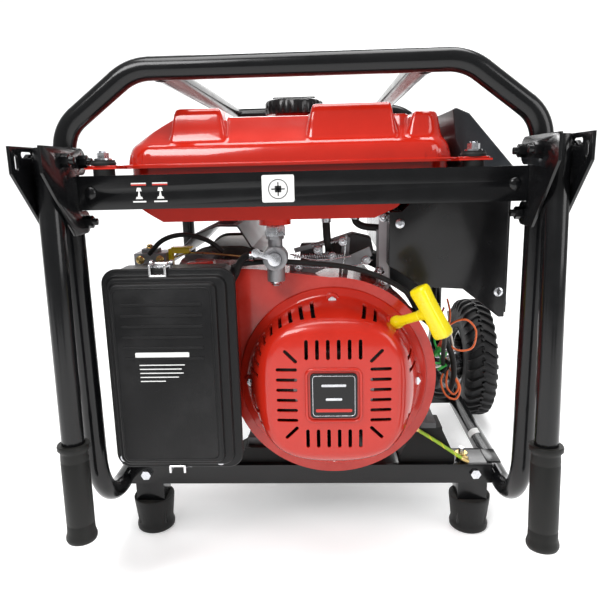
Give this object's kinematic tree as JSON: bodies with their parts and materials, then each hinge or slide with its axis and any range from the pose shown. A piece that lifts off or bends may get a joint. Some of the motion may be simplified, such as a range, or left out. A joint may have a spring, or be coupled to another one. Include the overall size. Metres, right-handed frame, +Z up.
{
  "type": "portable generator",
  "caption": "Open-frame wheeled petrol generator with recoil starter, fuel tank, brushless alternator, side control panel and two fold-up handles",
  "frame": {"origin": "On the ground under the middle of the machine's bounding box", "axes": "+Z up, +Y from the recoil-starter end towards the alternator and wheel end, +X towards the control panel"},
  "size_m": [0.724, 0.7364, 0.6333],
  "materials": {
    "black_frame_paint": "satin",
    "red_tank_paint": "gloss",
    "red_engine_paint": "satin",
    "grey_paint": "satin",
    "black_plastic": "textured",
    "yellow_plastic": "gloss",
    "red_plastic": "gloss",
    "black_rubber": "matte",
    "tyre_rubber": "matte",
    "cast_aluminium": "cast",
    "zinc_plate": "satin",
    "bright_wire": "polished",
    "steel": "satin",
    "hot_steel": "matte",
    "filter_foam": "matte",
    "green_yellow_wire": "satin",
    "orange_wire": "satin",
    "black_rim_paint": "satin"
  },
  "bodies": {
    "frame": {"front_hoop": "black_frame_paint", "rear_hoop": "black_frame_paint", "top_rails": "black_frame_paint", "front_tank_rail": "black_frame_paint", "rear_tank_rail": "black_frame_paint", "front_crossmember": "black_frame_paint", "rear_crossmember": "black_frame_paint", "engine_mounts": "black_rubber", "left_handle_bracket": "black_frame_paint", "right_handle_bracket": "black_frame_paint", "frame_bolts": "black_frame_paint", "rubber_feet": "black_rubber", "wheel_axle": "zinc_plate", "tank_upper_shell": "red_tank_paint", "tank_lower_shell": "red_tank_paint", "fuel_gauge": "black_plastic", "tank_grommets": "black_rubber", "plated_fasteners": "zinc_plate", "fuel_valve_body": "cast_aluminium", "fuel_hose": "black_rubber", "crankcase": "cast_aluminium", "cylinder_block": "cast_aluminium", "rocker_cover": "cast_aluminium", "blower_housing": "red_engine_paint", "side_shroud": "grey_paint", "recoil_cover": "red_engine_paint", "emblem_plate": "black_frame_paint", "spark_plug_cap": "black_rubber", "carburettor": "cast_aluminium", "air_filter_base": "black_plastic", "air_filter_element": "filter_foam", "air_filter_cover": "black_plastic", "muffler": "hot_steel", "muffler_guard": "hot_steel", "alternator_housing": "black_frame_paint", "alternator_end_cover": "black_frame_paint", "panel_box": "black_plastic", "panel_cowl": "grey_paint", "panel_face": "black_plastic", "earth_lead": "green_yellow_wire", "wiring_harness": "orange_wire"},
    "left_handle": {"left_handle_tube": "black_frame_paint", "left_grip": "black_rubber"},
    "right_handle": {"right_handle_tube": "black_frame_paint", "right_grip": "black_rubber"},
    "left_wheel": {"left_tyre": "tyre_rubber", "left_rim": "black_rim_paint"},
    "right_wheel": {"right_tyre": "tyre_rubber", "right_rim": "black_rim_paint"},
    "crank": {"crank_rotor": "steel"},
    "starter_pulley": {"starter_pulley": "cast_aluminium"},
    "pull_handle": {"pull_handle": "yellow_plastic"},
    "fuel_cap": {"fuel_cap": "black_plastic"},
    "fuel_valve_lever": {"fuel_valve_lever": "cast_aluminium"},
    "choke_lever": {"choke_lever": "yellow_plastic"},
    "upper_latch": {"upper_filter_latch": "bright_wire"},
    "lower_latch": {"lower_filter_latch": "bright_wire"},
    "engine_switch": {"engine_switch": "red_plastic"},
    "breaker_lever": {"breaker_lever": "black_plastic"},
    "outlet_lid": {"outlet_lid": "black_plastic"}
  },
  "joints": [
    {"name": "left_handle_fold", "type": "hinge", "parent": "frame", "child": "left_handle", "pos_m": [-0.266, -0.32, 0.524], "axis": [-1, 0, 0], "range_deg": [-2, 88]},
    {"name": "right_handle_fold", "type": "hinge", "parent": "frame", "child": "right_handle", "pos_m": [0.266, -0.32, 0.524], "axis": [-1, 0, 0], "range_deg": [-4, 86]},
    {"name": "left_wheel_spin", "type": "hinge", "parent": "frame", "child": "left_wheel", "pos_m": [-0.325, 0.248, 0.12], "axis": [1, 0, 0], "continuous": true},
    {"name": "right_wheel_spin", "type": "hinge", "parent": "frame", "child": "right_wheel", "pos_m": [0.325, 0.248, 0.12], "axis": [1, 0, 0], "continuous": true},
    {"name": "crank_spin", "type": "hinge", "parent": "frame", "child": "crank", "pos_m": [0.035, 0, 0.24], "axis": [0, -1, 0], "continuous": true},
    {"name": "starter_pulley_turn", "type": "hinge", "parent": "frame", "child": "starter_pulley", "pos_m": [0.035, -0.244, 0.24], "axis": [0, -1, 0], "range_deg": [0, 680]},
    {"name": "pull_handle_slide", "type": "slide", "parent": "frame", "child": "pull_handle", "axis": [0.5802, -0.7203, 0.3802], "range_m": [0, 0.6]},
    {"name": "fuel_cap_turn", "type": "hinge", "parent": "frame", "child": "fuel_cap", "pos_m": [-0.015, -0.04, 0.598], "axis": [0, 0, 1], "range_deg": [0, 120]},
    {"name": "fuel_valve_turn", "type": "hinge", "parent": "frame", "child": "fuel_valve_lever", "pos_m": [-0.034, -0.226, 0.403], "axis": [0, 1, 0], "range_deg": [0, 90]},
    {"name": "choke_turn", "type": "hinge", "parent": "frame", "child": "choke_lever", "pos_m": [-0.18, -0.176, 0.384], "axis": [1, 0, 0], "range_deg": [-20, 35]},
    {"name": "upper_latch_turn", "type": "hinge", "parent": "frame", "child": "upper_latch", "pos_m": [-0.167, -0.263, 0.404], "axis": [-1, 0, 0], "range_deg": [0, 100]},
    {"name": "lower_latch_turn", "type": "hinge", "parent": "frame", "child": "lower_latch", "pos_m": [-0.16, -0.263, 0.145], "axis": [1, 0, 0], "range_deg": [0, 100]},
    {"name": "engine_switch_turn", "type": "hinge", "parent": "frame", "child": "engine_switch", "pos_m": [0.253, 0.15, 0.395], "axis": [1, 0, 0], "range_deg": [0, 60]},
    {"name": "breaker_tip", "type": "hinge", "parent": "frame", "child": "breaker_lever", "pos_m": [0.254, -0.12, 0.399], "axis": [0, 1, 0], "range_deg": [0, 36]},
    {"name": "outlet_lid_open", "type": "hinge", "parent": "frame", "child": "outlet_lid", "pos_m": [0.2653, 0.06, 0.422], "axis": [0, -1, 0], "range_deg": [0, 110], "stiffness_Nm_per_rad": 0.02, "springref_deg": -11.46}
  ],
  "couplings": [
    {"joint": "pull_handle_slide", "follows": "starter_pulley_turn", "m_per_rad": 0.05}
  ]
}
